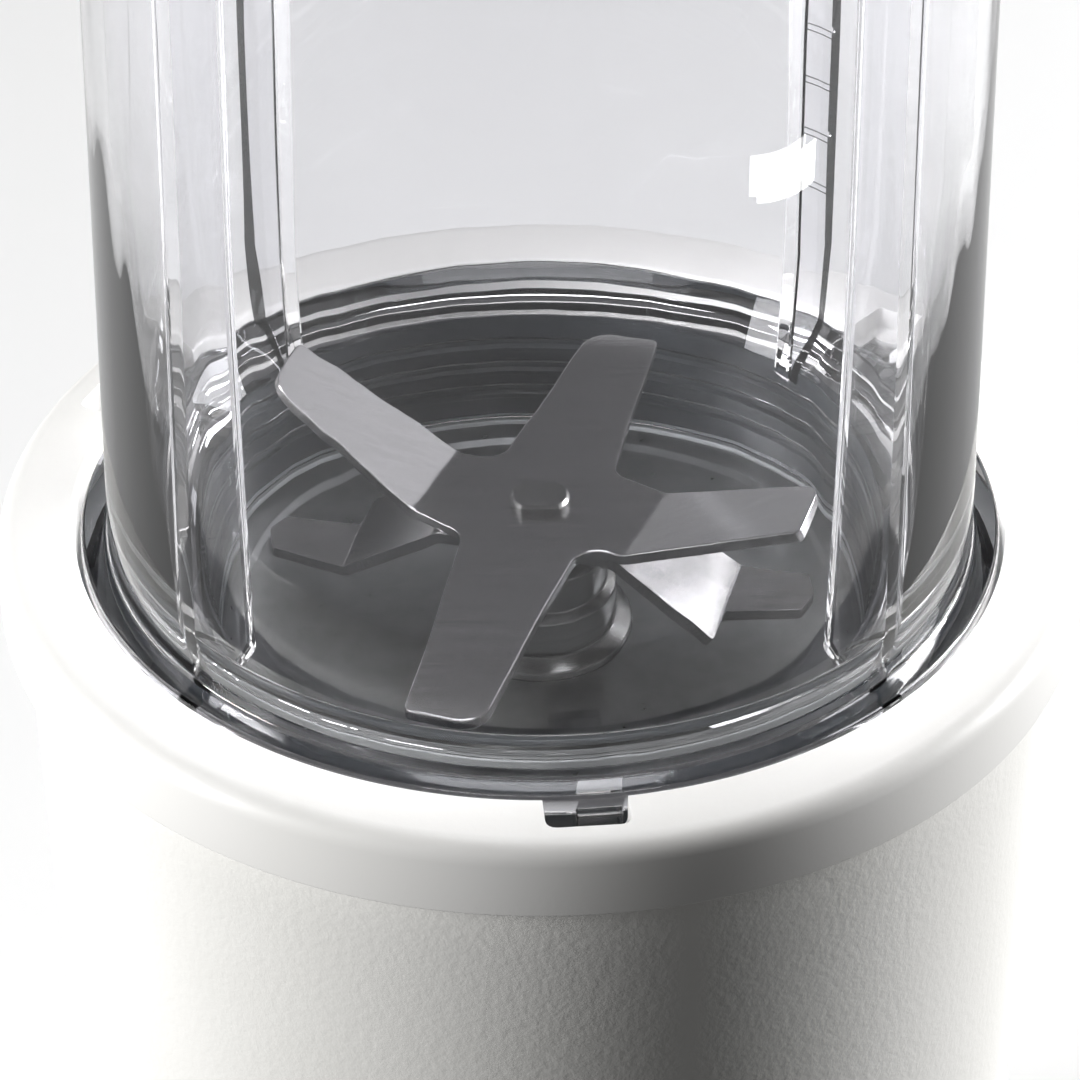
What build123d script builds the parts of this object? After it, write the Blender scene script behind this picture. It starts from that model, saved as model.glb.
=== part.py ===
"""Countertop blender: a motor base with a bayonet collar, and an inverted clear cup screwed onto
a blade unit.  Millimetres.  The origin is the centre of the footprint on the counter, +Z is up
and the front is -Y.  Angles are counted from +X towards +Y, so the front is at -90 degrees."""
from build123d import *
from math import cos, radians, sin, sqrt, tan
import os

os.makedirs("parts", exist_ok=True)

# ---------------------------------------------------------------- driving dimensions
RIM = 165.0  # height of the collar's top face above the counter
CUP_HEIGHT = 140.0  # closed cup above the collar's top face
WALL = 2.4  # base shell
RUN = 0.3  # gap between faces that pass each other
SLIP = 0.04  # radial gap of a shaft in its bearing

# Base
SHELL_FLARE_R = 66.5  # widest, near the counter
SHELL_WAIST_R = 58.3
SHELL_TOP_R = 59.6
SHELL_BOTTOM = 3.5
COVER_T = 3.0
COLLAR_R = 62.3
COLLAR_SKIRT = 9.1  # depth of the collar's outer band
SHADOW_GAP = 0.8  # between the band and the shell
BORE_R = 53.4  # collar's opening
LIP_DEPTH = 4.5  # bayonet lip above the channel
CHANNEL_R = 57.1
CHANNEL_DEPTH = 9.6
NOTCH_R = 58.4
NOTCH_WIDTH = 9.2
NOTCH_ANGLES = [-84.9, 35.1, 155.1]
LOCK_ANGLE = 25.0  # clockwise, seen from above
SCREW_ANGLES = [angle + 25 for angle in NOTCH_ANGLES]

# Well
WELL_R = 51.2
WELL_WALL = 1.8
WELL_FLOOR = 41.0  # all well depths are measured down from the collar's top face
WELL_FLOOR_T = 2.5
FLANGE_T = 2.4

# Cup
CUP_R = 49.65  # at the shoulder
CUP_DRAFT = 0.7  # degrees
CUP_WALL = 2.6
CUP_CORNER = 10.0
CUP_FLANGE_R = 52.8
CUP_FLANGE_TOP = 0.6
CUP_FLANGE_T = 2.6
NECK_R = 45.5
NECK_BORE = 43.0
NECK_DEPTH = 20.2
THREAD_CREST_R = 46.3
THREAD_PITCH = 4.0
RIB_ANGLES = [-142.5, -37.5, 42.5, 137.5]
RIB_WIDTH = 3.0
RIB_REACH_R = 41.0
TAB_WIDTH = 5.0
TAB_R = 56.7
TAB_TOP = 5.2
TAB_BOTTOM = 9.3
TAB_ANGLES = [angle + 1.9 for angle in NOTCH_ANGLES]

# Blade unit
BASE_R = 50.0
BASE_BORE = 46.6
BASE_RIM = 3.4
BASE_FLOOR = 22.0
BASE_FLOOR_T = 3.0
BASE_SKIRT = 34.0
BLADE_T = 1.5
GRIND_WIDTH = 3.2
GRIND_DEPTH = 1.1
BLADE_TOP = 2.0
SPINDLE_R = 4.0
BEARING_R = 6.5
HOUSING_R = 11.6
TOOTH_TIP_R = 9.0
TOOTH_ROOT_R = 7.4
TEETH = 8

# Motor
SHAFT_R = 4.0
STATOR_HALF = 33.0
STATOR_Z = (52.0, 86.0)
ARMATURE_R = 17.9
TOP_PLATE_Z = 99.0
BOTTOM_PLATE_Z = 30.0
PLATE_T = 3.0
BOLT_AT = 26.5
LEDGE_TOP = 96.0


# ---------------------------------------------------------------- shared operations
def disc(bottom, top, radius, bore=0.0, mode=Mode.ADD):
    """A disc, or a ring round a bore, between two heights."""
    with BuildSketch(Plane.XY.offset(bottom)) as profile:
        Circle(radius)
        if bore:
            Circle(bore, mode=Mode.SUBTRACT)
    extrude(profile.sketch, amount=top - bottom, mode=mode)


def block(bottom, top, size_x, size_y, at=(0.0, 0.0), turn=0.0, mode=Mode.ADD):
    """A block between two heights, centred at a point in its own frame, which turns about Z."""
    with BuildSketch(Plane.XY.offset(bottom).rotated((0, 0, turn))) as profile:
        with Locations(at):
            Rectangle(size_x, size_y)
    extrude(profile.sketch, amount=top - bottom, mode=mode)


def sector(bottom, top, inner, outer, middle, span, mode=Mode.ADD):
    """A piece of a ring, centred on an angle."""
    with BuildSketch(Plane.XY.offset(bottom)) as profile:
        with BuildLine():
            near = CenterArc((0, 0), inner, middle - span / 2, span)
            far = CenterArc((0, 0), outer, middle - span / 2, span)
            Line(near @ 0, far @ 0)
            Line(near @ 1, far @ 1)
        make_face()
    extrude(profile.sketch, amount=top - bottom, mode=mode)


def pegs(bottom, top, radius, places, mode=Mode.ADD):
    """Round pegs or holes at several places."""
    with BuildSketch(Plane.XY.offset(bottom)) as profile:
        with Locations(*places):
            Circle(radius)
    extrude(profile.sketch, amount=top - bottom, mode=mode)


def turned(points, mode=Mode.ADD):
    """A solid of revolution about Z from an outline of (radius, height) points."""
    with BuildSketch(Plane.XZ) as profile:
        with BuildLine():
            Polyline(*points, close=True)
        make_face()
    revolve(profile.sketch, axis=Axis.Z, mode=mode)


def polar(radius, angle):
    return (radius * cos(radians(angle)), radius * sin(radians(angle)))


def save(piece, name):
    piece.part.label = name
    export_step(piece.part, f"parts/{name}.step")


# ---------------------------------------------------------------- base shell and collar
def shell_outline(inset):
    """Points up the side of the shell, moved in by the inset."""
    return [
        (SHELL_FLARE_R - inset, 9.0),
        (SHELL_FLARE_R - 3.2 - inset, 27.0),
        (SHELL_WAIST_R + 1.7 - inset, 55.0),
        (SHELL_WAIST_R - inset, 90.0),
        (SHELL_WAIST_R + 0.6 - inset, 125.0),
        (SHELL_TOP_R - 0.1 - inset, 148.0),
    ]


SHELL_STEP_R = SHELL_TOP_R - 1.2
LIP_LOW = SHELL_BOTTOM + COVER_T + 3.0  # the lip that the cover and the chassis clamp
CHASSIS_LOW = LIP_LOW + 2.5
GLAND_Z = 24.5
GLAND_SEAT_Y = 62.9
lug_top = RIM - CHANNEL_DEPTH - FLANGE_T

with BuildPart() as base_shell:
    with BuildSketch(Plane.XZ):
        with BuildLine():
            outside = Spline(*shell_outline(0), tangents=[(-0.05, 1), (0, 1)])
            Line(outside @ 1, (SHELL_TOP_R, RIM - COLLAR_SKIRT - SHADOW_GAP))
            step = Polyline(
                (SHELL_TOP_R, RIM - COLLAR_SKIRT - SHADOW_GAP),
                (SHELL_STEP_R, RIM - COLLAR_SKIRT - SHADOW_GAP),
                (SHELL_STEP_R, RIM - COLLAR_SKIRT),
                (SHELL_TOP_R - WALL, RIM - COLLAR_SKIRT),
            )
            inside = Spline(*shell_outline(WALL), tangents=[(-0.05, 1), (0, 1)])
            Line(step @ 1, inside @ 1)
            Polyline(
                inside @ 0,
                (SHELL_FLARE_R - WALL, SHELL_BOTTOM),
                (SHELL_FLARE_R - 1.6, SHELL_BOTTOM),
                (SHELL_FLARE_R - 0.3, SHELL_BOTTOM + 1.6),
                outside @ 0,
            )
        make_face()
    revolve(axis=Axis.Z)
    disc(LIP_LOW, CHASSIS_LOW, SHELL_FLARE_R - WALL / 2, 60.5)
    with BuildSketch(Plane.XZ.offset(-GLAND_SEAT_Y)):
        with Locations((0, GLAND_Z)):
            Circle(8.0)
    extrude(amount=-10, mode=Mode.SUBTRACT)
    with BuildSketch(Plane.XZ.offset(-GLAND_SEAT_Y + 12)):
        with Locations((0, GLAND_Z)):
            Circle(6.05)
    extrude(amount=-20, mode=Mode.SUBTRACT)
save(base_shell, "base_shell")

CHASSIS_R = 55.6
CHASSIS_T = 3.0
LEDGE_REACH = 46.0
LEDGE_HOLE_R = 50.0
BOSS_R = 55.0
BOSS_TOP = 26.0
BOSS_ANGLES = [45.0, 135.0, 225.0, 315.0]
LUG_T = 4.0
LUG_SCREW_R = 55.2
well_outer = WELL_R + WELL_WALL + RUN
with BuildPart() as inner_chassis:
    disc(CHASSIS_LOW, CHASSIS_LOW + CHASSIS_T, 62.4, 50.0)
    pegs(CHASSIS_LOW, BOSS_TOP, 4.2, [polar(BOSS_R, angle) for angle in BOSS_ANGLES])
    for angle in SCREW_ANGLES:
        sector(CHASSIS_LOW, lug_top, well_outer, CHASSIS_R, angle, 8)
        sector(lug_top - LUG_T, lug_top, well_outer, CHANNEL_R - 0.2, angle, 10)
        sector(LEDGE_TOP - 4, LEDGE_TOP, LEDGE_REACH, CHASSIS_R, angle, 14)
    pegs(lug_top - LUG_T - 4, lug_top, 1.4, [polar(LUG_SCREW_R, a) for a in SCREW_ANGLES],
         Mode.SUBTRACT)
    for angle in SCREW_ANGLES:
        block(lug_top - LUG_T - 12, lug_top - LUG_T, 6.0, 5.0, at=(LUG_SCREW_R, 0), turn=angle,
              mode=Mode.SUBTRACT)
    pegs(LEDGE_TOP - 6.5, LEDGE_TOP, 1.5, [polar(LEDGE_HOLE_R, a) for a in SCREW_ANGLES],
         Mode.SUBTRACT)
    pegs(CHASSIS_LOW, BOSS_TOP - 3, 1.5, [polar(BOSS_R, a) for a in BOSS_ANGLES],
         Mode.SUBTRACT)
save(inner_chassis, "inner_chassis")

COLLAR_EDGE = 2.4
with BuildPart() as collar_ring:
    turned([
        (BORE_R, RIM - CHANNEL_DEPTH),
        (BORE_R, RIM),
        (COLLAR_R, RIM),
        (COLLAR_R, RIM - COLLAR_SKIRT),
        (CHANNEL_R, RIM - COLLAR_SKIRT),
        (CHANNEL_R, RIM - CHANNEL_DEPTH),
    ])
    top_face = collar_ring.faces().sort_by(Axis.Z)[-1]
    fillet(top_face.edges().sort_by(lambda edge: edge.radius)[-1], COLLAR_EDGE)
    inner_top = collar_ring.faces().filter_by(GeomType.PLANE).sort_by(Axis.Z)[-1].edges()
    fillet(inner_top.sort_by(lambda edge: edge.radius)[0], 0.8)
    for angle in NOTCH_ANGLES:
        half_notch = NOTCH_WIDTH / 2 / BORE_R * 180 / 3.1416
        sweep_span = LOCK_ANGLE + 8.3
        end = angle + half_notch
        sector(RIM - CHANNEL_DEPTH - 1, RIM - LIP_DEPTH, BORE_R - 1, CHANNEL_R,
               end - sweep_span / 2, sweep_span, Mode.SUBTRACT)
        with BuildSketch(Plane.XY.offset(RIM - LIP_DEPTH).rotated((0, 0, angle))):
            with Locations(((BORE_R - 2 + NOTCH_R) / 2, 0)):
                RectangleRounded(NOTCH_R - BORE_R + 2, NOTCH_WIDTH, 1.4)
        extrude(amount=LIP_DEPTH + 1, mode=Mode.SUBTRACT)
    pegs(RIM - CHANNEL_DEPTH, RIM - 3.8, 1.25, [polar(LUG_SCREW_R, a) for a in SCREW_ANGLES],
         Mode.SUBTRACT)
save(collar_ring, "collar_ring")

PLUNGER_SPAN = 29.0
PLUNGER_MIDDLES = [angle - 10.6 for angle in NOTCH_ANGLES]
with BuildPart() as well_liner:
    turned([
        (WELL_R, RIM - CHANNEL_DEPTH),
        (CHANNEL_R - 0.1, RIM - CHANNEL_DEPTH),
        (CHANNEL_R - 0.1, lug_top),
        (WELL_R + WELL_WALL, lug_top),
        (WELL_R + WELL_WALL, RIM - WELL_FLOOR - WELL_FLOOR_T),
        (8.0, RIM - WELL_FLOOR - WELL_FLOOR_T),
        (8.0, RIM - WELL_FLOOR + 1.5),
        (14.5, RIM - WELL_FLOOR + 1.5),
        (16.0, RIM - WELL_FLOOR),
        (WELL_R - 4, RIM - WELL_FLOOR),
        (WELL_R, RIM - WELL_FLOOR + 4),
    ])
    for middle in PLUNGER_MIDDLES:
        sector(lug_top - 1, RIM, WELL_R + WELL_WALL + 0.3, CHANNEL_R + 1, middle,
               PLUNGER_SPAN + 1, Mode.SUBTRACT)
    pegs(lug_top - 1, RIM, 1.4, [polar(LUG_SCREW_R, a) for a in SCREW_ANGLES], Mode.SUBTRACT)
save(well_liner, "well_liner")

with BuildPart() as shaft_seal:
    disc(RIM - WELL_FLOOR - WELL_FLOOR_T, RIM - WELL_FLOOR + 1.5, 8.0, SHAFT_R + SLIP)
save(shaft_seal, "shaft_seal")

with BuildPart() as collar_screws:
    places = [polar(LUG_SCREW_R, a) for a in SCREW_ANGLES]
    pegs(lug_top - LUG_T, RIM - 4.0, 1.25, places)
    pegs(lug_top - LUG_T - 1.8, lug_top - LUG_T, 1.9, places)
save(collar_screws, "collar_screws")

# ---------------------------------------------------------------- underside
FOOT_R = 50.0
FOOT_ANGLES = [0.0, 90.0, 180.0, 270.0]
cover_top = SHELL_BOTTOM + COVER_T
cover_r = SHELL_FLARE_R - WALL - RUN
with BuildPart() as bottom_cover:
    disc(SHELL_BOTTOM, cover_top, cover_r)
    disc(cover_top, cover_top + 3, cover_r, cover_r - 1.8)
    for ring, count in ((14.0, 10), (22.0, 16), (30.0, 22)):
        with BuildSketch(Plane.XY.offset(SHELL_BOTTOM)):
            with PolarLocations(ring, count):
                SlotOverall(6.0, 2.4)
        extrude(amount=COVER_T, mode=Mode.SUBTRACT)
    pegs(SHELL_BOTTOM, cover_top, 3.0, [polar(FOOT_R, a) for a in FOOT_ANGLES], Mode.SUBTRACT)
    pegs(SHELL_BOTTOM, cover_top, 1.7, [polar(BOSS_R, a) for a in BOSS_ANGLES], Mode.SUBTRACT)
    pegs(SHELL_BOTTOM, SHELL_BOTTOM + 1.6, 3.4, [polar(BOSS_R, a) for a in BOSS_ANGLES],
         Mode.SUBTRACT)
    for angle in BOSS_ANGLES:
        block(cover_top, cover_top + 3, 8.0, 3.2, at=(cover_r - 1, 0), turn=angle,
              mode=Mode.SUBTRACT)
save(bottom_cover, "bottom_cover")

with BuildPart() as cover_screws:
    places = [polar(BOSS_R, a) for a in BOSS_ANGLES]
    pegs(SHELL_BOTTOM + 0.2, SHELL_BOTTOM + 1.6, 3.0, places)
    pegs(SHELL_BOTTOM + 1.6, BOSS_TOP - 4, 1.5, places)
    for angle in BOSS_ANGLES:
        block(SHELL_BOTTOM + 0.2, SHELL_BOTTOM + 0.9, 3.6, 0.8, at=(BOSS_R, 0), turn=angle,
              mode=Mode.SUBTRACT)
        block(SHELL_BOTTOM + 0.2, SHELL_BOTTOM + 0.9, 0.8, 3.6, at=(BOSS_R, 0), turn=angle,
              mode=Mode.SUBTRACT)
save(cover_screws, "cover_screws")

with BuildPart() as rubber_feet:
    places = [polar(FOOT_R, a) for a in FOOT_ANGLES]
    pegs(0, SHELL_BOTTOM, 8.0, places)
    chamfer(rubber_feet.faces().sort_by(Axis.Z)[0:4].edges(), 0.8)
    pegs(SHELL_BOTTOM, cover_top, 2.95, places)
    pegs(cover_top, cover_top + 1.5, 4.2, places)
save(rubber_feet, "rubber_feet")

with BuildPart() as cord_gland:
    with BuildSketch(Plane.XZ.offset(-GLAND_SEAT_Y)):
        with Locations((0, GLAND_Z)):
            Circle(7.8)
    extrude(amount=-1.6)
    with BuildSketch(Plane.XZ.offset(-GLAND_SEAT_Y + 10.4)):
        with Locations((0, GLAND_Z)):
            Circle(6.0)
    extrude(amount=-10.4)
    with BuildSketch(Plane.XZ.offset(-GLAND_SEAT_Y + 10.4)):
        with Locations((0, GLAND_Z)):
            Circle(8.0)
    extrude(amount=-6.0)
    with BuildSketch(Plane.XZ.offset(-GLAND_SEAT_Y + 10.4)):
        with Locations((0, GLAND_Z)):
            Circle(3.6)
    extrude(amount=-12.0, mode=Mode.SUBTRACT)
save(cord_gland, "cord_gland")

# ---------------------------------------------------------------- motor, standing parts
bolt_places = [(sx * BOLT_AT, sy * BOLT_AT) for sx in (-1, 1) for sy in (-1, 1)]
bearing_h = 7.0
bearing_r = 11.0
top_plate_top = TOP_PLATE_Z + PLATE_T
with BuildPart() as motor_top_bracket:
    disc(TOP_PLATE_Z, top_plate_top, 53.0)
    disc(top_plate_top, top_plate_top + 6, 14.0)
    pegs(STATOR_Z[1], TOP_PLATE_Z, 4.5, bolt_places)
    disc(TOP_PLATE_Z, top_plate_top + 6, bearing_r, mode=Mode.SUBTRACT)
    disc(top_plate_top + 5, top_plate_top + 6, bearing_r, 6.5)
    pegs(STATOR_Z[1], top_plate_top, 1.95, bolt_places, Mode.SUBTRACT)
    pegs(TOP_PLATE_Z, top_plate_top, 1.6, [polar(LEDGE_HOLE_R, a) for a in SCREW_ANGLES],
         Mode.SUBTRACT)
    with BuildSketch(Plane.XY.offset(TOP_PLATE_Z)):
        with PolarLocations(23, 9):
            SlotOverall(10.0, 5.0)
    extrude(amount=PLATE_T, mode=Mode.SUBTRACT)
save(motor_top_bracket, "motor_top_bracket")

with BuildPart() as motor_bottom_bracket:
    with BuildSketch(Plane.XY.offset(BOTTOM_PLATE_Z)):
        RectangleRounded(64, 64, 8)
        Rectangle(36, 80)
    extrude(amount=PLATE_T)
    disc(BOTTOM_PLATE_Z - 6, BOTTOM_PLATE_Z, 14.0)
    pegs(BOTTOM_PLATE_Z + PLATE_T, STATOR_Z[0], 4.5, bolt_places)
    disc(BOTTOM_PLATE_Z - 6, BOTTOM_PLATE_Z + PLATE_T, bearing_r, mode=Mode.SUBTRACT)
    disc(BOTTOM_PLATE_Z - 6, BOTTOM_PLATE_Z - 5, bearing_r, 6.5)
    pegs(BOTTOM_PLATE_Z, STATOR_Z[0], 1.95, bolt_places, Mode.SUBTRACT)
save(motor_bottom_bracket, "motor_bottom_bracket")

with BuildPart() as motor_through_bolts:
    pegs(BOTTOM_PLATE_Z - 2, top_plate_top, 1.9, bolt_places)
    pegs(top_plate_top, top_plate_top + 2.6, 3.5, bolt_places)
    with BuildSketch(Plane.XY.offset(BOTTOM_PLATE_Z - 3)):
        with Locations(*bolt_places):
            RegularPolygon(3.6, 6)
    extrude(amount=3)
save(motor_through_bolts, "motor_through_bolts")


def bearing(bottom, height, outer, bore):
    """A shielded ball bearing: two rings and a recessed shield, as one solid."""
    ring_r = bore + (outer - bore) * 0.28
    race_r = outer - (outer - bore) * 0.22
    with BuildPart() as made:
        disc(bottom, bottom + height, outer, bore)
        disc(bottom, bottom + 0.5, race_r, ring_r, Mode.SUBTRACT)
        disc(bottom + height - 0.5, bottom + height, race_r, ring_r, Mode.SUBTRACT)
    return made


upper_bearing_z = top_plate_top + 5 - bearing_h
lower_bearing_z = BOTTOM_PLATE_Z - 5
save(bearing(upper_bearing_z, bearing_h, bearing_r, SHAFT_R + SLIP), "upper_bearing")
save(bearing(lower_bearing_z, bearing_h, bearing_r, SHAFT_R + SLIP), "lower_bearing")

COIL_X = (20.0, 27.0)
COIL_Y = (10.8, 17.2)
COIL_OVERHANG = 5.0
with BuildPart() as stator_core:
    with BuildSketch(Plane.XY.offset(STATOR_Z[0])):
        RectangleRounded(2 * STATOR_HALF, 2 * STATOR_HALF, 9)
        Circle(ARMATURE_R + 0.6, mode=Mode.SUBTRACT)
        for sx in (-1, 1):
            for sy in (-1, 1):
                with Locations((sx * sum(COIL_X) / 2, sy * sum(COIL_Y) / 2)):
                    Rectangle(COIL_X[1] - COIL_X[0] + 0.6, COIL_Y[1] - COIL_Y[0] + 0.6,
                              mode=Mode.SUBTRACT)
        with Locations(*bolt_places):
            Circle(1.95, mode=Mode.SUBTRACT)
    extrude(amount=STATOR_Z[1] - STATOR_Z[0])
save(stator_core, "stator_core")

with BuildPart() as field_coils:
    for sx in (-1, 1):
        low = STATOR_Z[0] - COIL_OVERHANG
        high = STATOR_Z[1] + COIL_OVERHANG
        middle_x = sx * sum(COIL_X) / 2
        deep = COIL_X[1] - COIL_X[0]
        block(low, high, deep, 2 * COIL_Y[1], at=(middle_x, 0))
        block(STATOR_Z[0] - 0.3, STATOR_Z[1] + 0.3, deep + 1, 2 * COIL_Y[0], at=(middle_x, 0),
              mode=Mode.SUBTRACT)
save(field_coils, "field_coils")

COMMUTATOR_Z = (35.0, 45.0)
COMMUTATOR_R = 10.0
plate_top = BOTTOM_PLATE_Z + PLATE_T
with BuildPart() as brush_holders:
    for side in (-1, 1):
        block(plate_top, COMMUTATOR_Z[1], 9.0, 20.0, at=(0, side * 23.0))
        block(COMMUTATOR_Z[0], COMMUTATOR_Z[1] - 2, 6.2, 18.4, at=(0, side * 22.0),
              mode=Mode.SUBTRACT)
save(brush_holders, "brush_holders")

with BuildPart() as carbon_brushes:
    for side in (-1, 1):
        block(COMMUTATOR_Z[0] + 0.1, COMMUTATOR_Z[1] - 2.1, 6.0, 12.0,
              at=(0, side * (COMMUTATOR_R + 6.3)))
save(carbon_brushes, "carbon_brushes")

with BuildPart() as brush_springs:
    for side in (-1, 1):
        for turn in range(5):
            with BuildSketch(Plane.XZ.offset(-side * (23.2 + 1.5 * turn))):
                with Locations((0, sum(COMMUTATOR_Z) / 2 - 1)):
                    Circle(2.6)
                    Circle(1.9, mode=Mode.SUBTRACT)
            extrude(amount=-side * 0.7)
        block(COMMUTATOR_Z[0] + 1.6, COMMUTATOR_Z[0] + 2.2, 0.8, 7.0, at=(0, side * 26.7))
save(brush_springs, "brush_springs")

with BuildPart() as motor_dampers:
    places = [polar(LEDGE_HOLE_R, a) for a in SCREW_ANGLES]
    pegs(LEDGE_TOP, TOP_PLATE_Z, 3.2, places)
    pegs(LEDGE_TOP, TOP_PLATE_Z, 1.6, places, Mode.SUBTRACT)
save(motor_dampers, "motor_dampers")

with BuildPart() as bracket_screws:
    places = [polar(LEDGE_HOLE_R, a) for a in SCREW_ANGLES]
    pegs(LEDGE_TOP - 6, top_plate_top, 1.5, places)
    pegs(top_plate_top, top_plate_top + 2, 3.0, places)
save(bracket_screws, "bracket_screws")

# ---------------------------------------------------------------- electrical pieces
SWITCH_SIZE = (6.0, 12.0, 5.4)
with BuildPart() as microswitches:
    for angle in [middle - 6.5 for middle in PLUNGER_MIDDLES]:
        block(top_plate_top, top_plate_top + SWITCH_SIZE[2], SWITCH_SIZE[0], SWITCH_SIZE[1] - 2,
              at=(49.0, 0), turn=angle)
        block(top_plate_top + SWITCH_SIZE[2], top_plate_top + SWITCH_SIZE[2] + 0.9, 2.0, 3.0,
              at=(49.0, 0), turn=angle)
save(microswitches, "microswitches")

with BuildPart() as capacitor:
    block(cover_top, cover_top + 14, 7.0, 12.0, at=(-42.0, -12.5))
    fillet(capacitor.edges().filter_by(Axis.Z), 1.5)
save(capacitor, "capacitor")

with BuildPart() as terminal_block:
    block(cover_top, cover_top + 5, 26.0, 8.0, at=(21.0, 46.0))
    for index in range(3):
        pegs(cover_top + 2, cover_top + 5, 2.0, [(13.0 + 8 * index, 46.0)], Mode.SUBTRACT)
save(terminal_block, "terminal_block")

with BuildPart() as thermal_fuse:
    with BuildSketch(Plane.YZ.offset(33.0)):
        with Locations((0, 70.0)):
            Circle(2.0)
    extrude(amount=3.5)
    block(64.0, 76.0, 0.8, 8.0, at=(33.4, 0.0))
save(thermal_fuse, "thermal_fuse")

with BuildPart() as air_duct:
    disc(cover_top, BOTTOM_PLATE_Z - 6.5, 39.0, 37.4)
    for angle in (45, 135, 225, 315):
        block(cover_top, cover_top + 6, 6.0, 2.0, at=(41.0, 0), turn=angle)
save(air_duct, "air_duct")

# ---------------------------------------------------------------- rotor
coupler_bottom = RIM - WELL_FLOOR + 1.8
coupler_top = RIM - BASE_SKIRT + 3.9
with BuildPart() as motor_shaft:
    disc(BOTTOM_PLATE_Z - 5.5, coupler_top - 2, SHAFT_R)
save(motor_shaft, "motor_shaft")

with BuildPart() as armature_core:
    disc(STATOR_Z[0] + 2, STATOR_Z[1] - 2, ARMATURE_R, SHAFT_R)
    with BuildSketch(Plane.XY.offset(STATOR_Z[0] + 2)):
        with PolarLocations(ARMATURE_R - 1.5, 12):
            Rectangle(5.0, 2.0)
    extrude(amount=STATOR_Z[1] - STATOR_Z[0] - 4, mode=Mode.SUBTRACT)
save(armature_core, "armature_core")

with BuildPart() as armature_windings:
    for low, high in ((STATOR_Z[1] - 2, STATOR_Z[1] + 4), (STATOR_Z[0] - 4, STATOR_Z[0] + 2)):
        disc(low, high, ARMATURE_R - 1.4, SHAFT_R + 2)
    fillet(armature_windings.edges().sort_by(Axis.Z)[-1], 1.5)
save(armature_windings, "armature_windings")

with BuildPart() as commutator:
    disc(COMMUTATOR_Z[0] - 1, COMMUTATOR_Z[1] + 1, COMMUTATOR_R, SHAFT_R)
    with BuildSketch(Plane.XY.offset(COMMUTATOR_Z[0] - 1)):
        with PolarLocations(COMMUTATOR_R, 24):
            Rectangle(1.6, 0.5)
    extrude(amount=COMMUTATOR_Z[1] - COMMUTATOR_Z[0] + 2, mode=Mode.SUBTRACT)
save(commutator, "commutator")

fan_z = STATOR_Z[1] + COIL_OVERHANG + 1.0
with BuildPart() as cooling_fan:
    disc(fan_z, fan_z + 1.2, 19.0, SHAFT_R)
    disc(fan_z, fan_z + 6, 8.0, SHAFT_R)
    for index in range(11):
        block(fan_z, fan_z + 6, 13.0, 1.2, at=(13.0, 4.0), turn=index * 360 / 11)
save(cooling_fan, "cooling_fan")


def toothed_outline(root, tip, width):
    """The star-shaped section that both halves of the coupling share."""
    Circle(root)
    with PolarLocations((root + tip) / 2 - 1, TEETH):
        Rectangle(tip - root + 2, width)


with BuildPart() as drive_coupler:
    disc(coupler_bottom, RIM - BASE_SKIRT - 1.0, 12.0, SHAFT_R)
    with BuildSketch(Plane.XY.offset(coupler_bottom)):
        toothed_outline(TOOTH_ROOT_R, TOOTH_TIP_R, 3.0)
        Circle(SHAFT_R, mode=Mode.SUBTRACT)
    extrude(amount=coupler_top - coupler_bottom)
    disc(coupler_top - 2, coupler_top, SHAFT_R)
save(drive_coupler, "drive_coupler")

# ---------------------------------------------------------------- switch plungers
FOOT_LOW = 113.0
SPRING_R = 2.8
SIDE_NAMES = ["front", "right", "left"]
for side_name, middle in zip(SIDE_NAMES, PLUNGER_MIDDLES):
    with BuildPart() as plunger:
        sector(lug_top - 0.5, RIM - CHANNEL_DEPTH - 0.2, 53.6, 56.8, middle, PLUNGER_SPAN)
        sector(FOOT_LOW, lug_top - 0.5, 53.6, 55.6, middle, 9)
        sector(FOOT_LOW, FOOT_LOW + 3, 46.0, 55.6, middle, 26)
        pegs(FOOT_LOW - 2.5, FOOT_LOW, 1.8, [polar(50.0, middle + 7.0)])
    save(plunger, f"plunger_{side_name}")
    with BuildPart() as spring:
        centre = polar(50.0, middle + 7.0)
        turns = 6
        step_z = (FOOT_LOW - top_plate_top - 0.9) / (turns - 1)
        for turn in range(turns):
            low = top_plate_top + turn * step_z
            pegs(low, low + 0.9, SPRING_R, [centre])
            pegs(low, low + 0.9, SPRING_R - 0.8, [centre], Mode.SUBTRACT)
        block(top_plate_top, FOOT_LOW, 0.7, 0.9, at=(centre[0] + SPRING_R - 0.4, centre[1]))
    save(spring, f"plunger_spring_{side_name}")

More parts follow.
